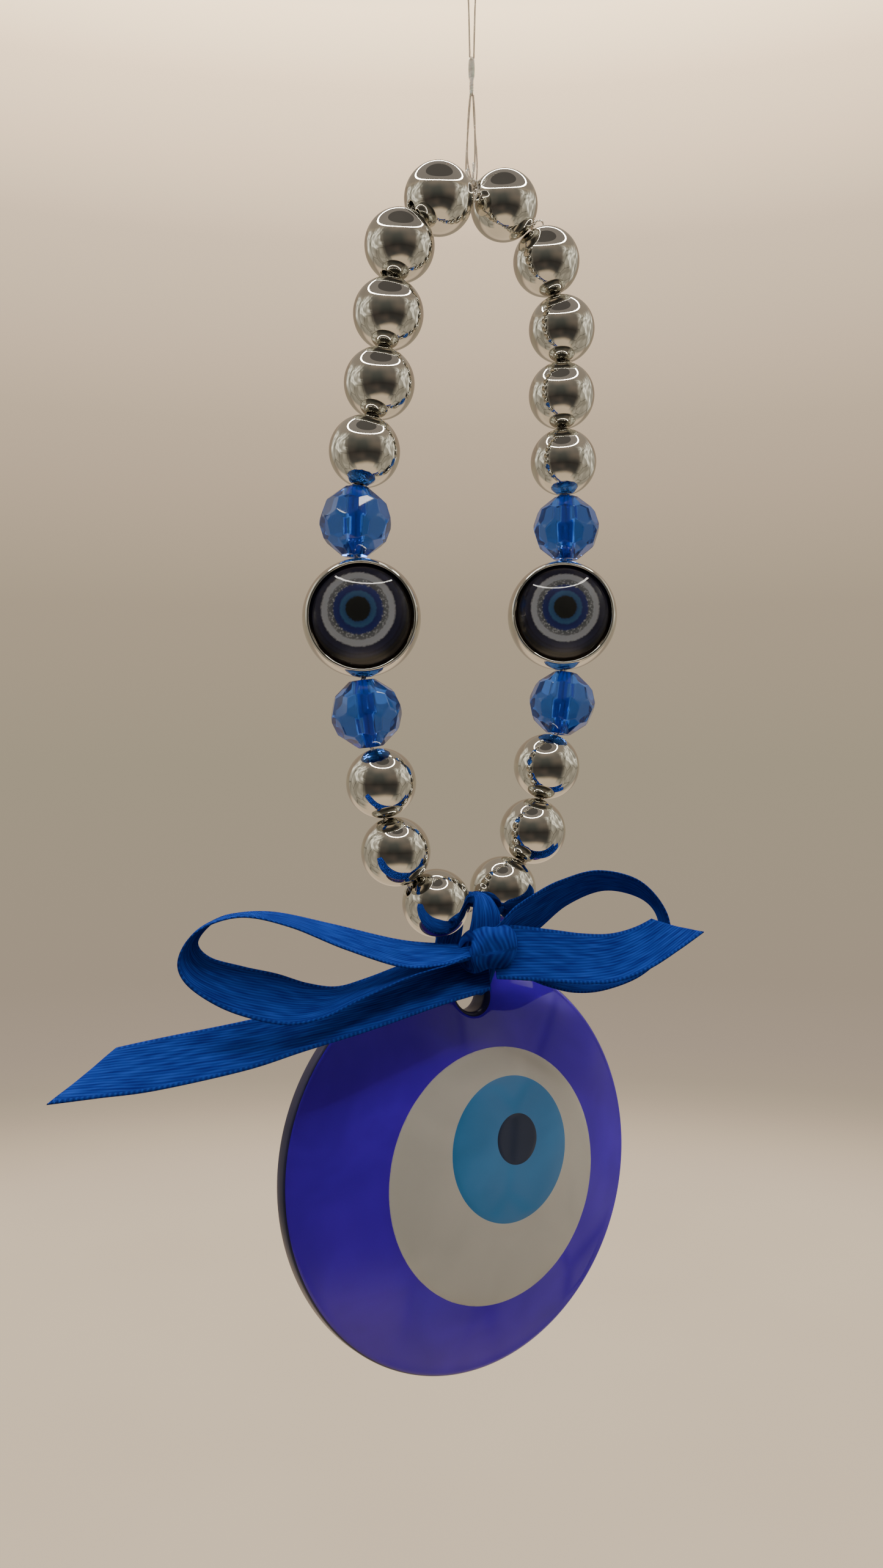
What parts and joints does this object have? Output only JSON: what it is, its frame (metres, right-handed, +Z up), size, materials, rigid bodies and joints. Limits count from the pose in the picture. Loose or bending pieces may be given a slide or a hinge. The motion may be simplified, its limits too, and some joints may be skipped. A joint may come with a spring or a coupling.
{
  "type": "evil eye hanging ornament",
  "caption": "Glass eye disc hung by a bowed satin ribbon from a closed loop of beads on a hanging thread.",
  "frame": {"origin": "top of the thread's hanging loop", "axes": "+Z up along the hanging thread, front of the glass eye towards -Y, +X to the viewer's right"},
  "size_m": [0.1145, 0.0287, 0.2547],
  "materials": {
    "nylon_thread": "clear drawn nylon",
    "clear_elastic": "clear stretch cord",
    "silvered_plastic": "vacuum-silvered, mirror gloss",
    "blue_acrylic": "transparent, faceted and polished",
    "eye_resin": "printed eye under clear resin",
    "clear_resin": "clear domed resin, glossy",
    "satin_ribbon": "double-faced satin",
    "cobalt_glass": "fire-polished",
    "white_glass": "opaque, fire-polished",
    "light_blue_glass": "opaque, fire-polished",
    "dark_glass": "opaque, fire-polished"
  },
  "bodies": {
    "root": {"hanging_loop": "nylon_thread"},
    "knot": {"thread_knot": "nylon_thread"},
    "string": {"hanging_thread": "nylon_thread", "bead_string": "clear_elastic", "string_knot": "clear_elastic"},
    "silver_bead_01": {"silver_bead_01": "silvered_plastic"},
    "silver_bead_02": {"silver_bead_02": "silvered_plastic"},
    "silver_bead_03": {"silver_bead_03": "silvered_plastic"},
    "silver_bead_04": {"silver_bead_04": "silvered_plastic"},
    "silver_bead_05": {"silver_bead_05": "silvered_plastic"},
    "faceted_bead_01": {"faceted_bead_01": "blue_acrylic"},
    "eye_bead_left": {"eye_ring_left": "silvered_plastic", "eye_core_left": "eye_resin", "eye_dome_front_left": "clear_resin", "eye_dome_back_left": "clear_resin"},
    "faceted_bead_02": {"faceted_bead_02": "blue_acrylic"},
    "silver_bead_06": {"silver_bead_06": "silvered_plastic"},
    "silver_bead_07": {"silver_bead_07": "silvered_plastic"},
    "silver_bead_08": {"silver_bead_08": "silvered_plastic"},
    "silver_bead_09": {"silver_bead_09": "silvered_plastic"},
    "silver_bead_10": {"silver_bead_10": "silvered_plastic"},
    "silver_bead_11": {"silver_bead_11": "silvered_plastic"},
    "silver_bead_12": {"silver_bead_12": "silvered_plastic"},
    "silver_bead_13": {"silver_bead_13": "silvered_plastic"},
    "faceted_bead_03": {"faceted_bead_03": "blue_acrylic"},
    "eye_bead_right": {"eye_ring_right": "silvered_plastic", "eye_core_right": "eye_resin", "eye_dome_front_right": "clear_resin", "eye_dome_back_right": "clear_resin"},
    "faceted_bead_04": {"faceted_bead_04": "blue_acrylic"},
    "silver_bead_14": {"silver_bead_14": "silvered_plastic"},
    "silver_bead_15": {"silver_bead_15": "silvered_plastic"},
    "silver_bead_16": {"silver_bead_16": "silvered_plastic"},
    "ribbon": {"ribbon_sling": "satin_ribbon", "bow_knot": "satin_ribbon", "bow_loop_left": "satin_ribbon", "bow_loop_right": "satin_ribbon", "bow_tail_left": "satin_ribbon", "bow_tail_right": "satin_ribbon"},
    "eye": {"glass_body": "cobalt_glass", "white_layer": "white_glass", "iris_layer": "light_blue_glass", "pupil": "dark_glass"}
  },
  "joints": [
    {"name": "ornament_twist", "type": "hinge", "parent": "root", "child": "knot", "pos_m": [0, 0, -0.0243], "axis": [0, 0, 1], "range_deg": [-90, 90]},
    {"name": "thread_swing", "type": "hinge", "parent": "knot", "child": "string", "pos_m": [0, 0, -0.0302], "axis": [0, 1, 0], "range_deg": [-25, 25]},
    {"name": "silver_bead_01_spin", "type": "hinge", "parent": "string", "child": "silver_bead_01", "pos_m": [-0.0065, 0, -0.05], "axis": [-0.8988, 0, -0.4384], "continuous": true},
    {"name": "silver_bead_02_spin", "type": "hinge", "parent": "string", "child": "silver_bead_02", "pos_m": [-0.01395, 0, -0.05953], "axis": [-0.4067, 0, -0.9135], "continuous": true},
    {"name": "silver_bead_03_spin", "type": "hinge", "parent": "string", "child": "silver_bead_03", "pos_m": [-0.01605, 0, -0.07145], "axis": [-0.1564, 0, -0.9877], "continuous": true},
    {"name": "silver_bead_04_spin", "type": "hinge", "parent": "string", "child": "silver_bead_04", "pos_m": [-0.01774, 0, -0.08343], "axis": [-0.1822, 0, -0.9833], "continuous": true},
    {"name": "silver_bead_05_spin", "type": "hinge", "parent": "string", "child": "silver_bead_05", "pos_m": [-0.02046, 0, -0.09522], "axis": [-0.1822, 0, -0.9833], "continuous": true},
    {"name": "faceted_bead_01_spin", "type": "hinge", "parent": "string", "child": "faceted_bead_01", "pos_m": [-0.02214, 0, -0.1072], "axis": [-0.0349, 0, -0.9994], "continuous": true},
    {"name": "eye_bead_left_spin", "type": "hinge", "parent": "string", "child": "eye_bead_left", "pos_m": [-0.02102, 0, -0.12327], "axis": [0.061, 0, -0.9981], "continuous": true},
    {"name": "faceted_bead_02_spin", "type": "hinge", "parent": "string", "child": "faceted_bead_02", "pos_m": [-0.02017, 0, -0.13934], "axis": [0.1392, 0, -0.9903], "continuous": true},
    {"name": "silver_bead_06_spin", "type": "hinge", "parent": "string", "child": "silver_bead_06", "pos_m": [-0.01745, 0, -0.15113], "axis": [0.225, 0, -0.9744], "continuous": true},
    {"name": "silver_bead_07_spin", "type": "hinge", "parent": "string", "child": "silver_bead_07", "pos_m": [-0.01473, 0, -0.16292], "axis": [0.4462, 0, -0.8949], "continuous": true},
    {"name": "silver_bead_08_spin", "type": "hinge", "parent": "string", "child": "silver_bead_08", "pos_m": [-0.00695, 0, -0.17219], "axis": [0.9063, 0, -0.4226], "continuous": true},
    {"name": "silver_bead_09_spin", "type": "hinge", "parent": "string", "child": "silver_bead_09", "pos_m": [0.0065, 0, -0.0484], "axis": [0.9304, 0, -0.3665], "continuous": true},
    {"name": "silver_bead_10_spin", "type": "hinge", "parent": "string", "child": "silver_bead_10", "pos_m": [0.01535, 0, -0.05665], "axis": [0.5225, 0, -0.8526], "continuous": true},
    {"name": "silver_bead_11_spin", "type": "hinge", "parent": "string", "child": "silver_bead_11", "pos_m": [0.01869, 0, -0.06828], "axis": [0.1392, 0, -0.9903], "continuous": true},
    {"name": "silver_bead_12_spin", "type": "hinge", "parent": "string", "child": "silver_bead_12", "pos_m": [0.01869, 0, -0.08038], "axis": [0.0175, 0, -0.9998], "continuous": true},
    {"name": "silver_bead_13_spin", "type": "hinge", "parent": "string", "child": "silver_bead_13", "pos_m": [0.01911, 0, -0.09248], "axis": [0.0436, 0, -0.999], "continuous": true},
    {"name": "faceted_bead_03_spin", "type": "hinge", "parent": "string", "child": "faceted_bead_03", "pos_m": [0.01974, 0, -0.10456], "axis": [0, 0, -1], "continuous": true},
    {"name": "eye_bead_right_spin", "type": "hinge", "parent": "string", "child": "eye_bead_right", "pos_m": [0.0189, 0, -0.12064], "axis": [-0.0262, 0, -0.9997], "continuous": true},
    {"name": "faceted_bead_04_spin", "type": "hinge", "parent": "string", "child": "faceted_bead_04", "pos_m": [0.0189, 0, -0.13674], "axis": [-0.1392, 0, -0.9903], "continuous": true},
    {"name": "silver_bead_14_spin", "type": "hinge", "parent": "string", "child": "silver_bead_14", "pos_m": [0.01556, 0, -0.14837], "axis": [-0.2588, 0, -0.9659], "continuous": true},
    {"name": "silver_bead_15_spin", "type": "hinge", "parent": "string", "child": "silver_bead_15", "pos_m": [0.01264, 0, -0.16011], "axis": [-0.3827, 0, -0.9239], "continuous": true},
    {"name": "silver_bead_16_spin", "type": "hinge", "parent": "string", "child": "silver_bead_16", "pos_m": [0.0064, 0, -0.17048], "axis": [-0.8704, 0, -0.4924], "continuous": true},
    {"name": "ribbon_swing", "type": "hinge", "parent": "string", "child": "ribbon", "pos_m": [-0.00017, 0, -0.17408], "axis": [1, 0, 0], "range_deg": [-10, 10]},
    {"name": "eye_swing", "type": "hinge", "parent": "ribbon", "child": "eye", "pos_m": [-0.00043, 0.00411, -0.18937], "axis": [-0.104, 0.9891, -0.1045], "range_deg": [-15, 15]}
  ]
}
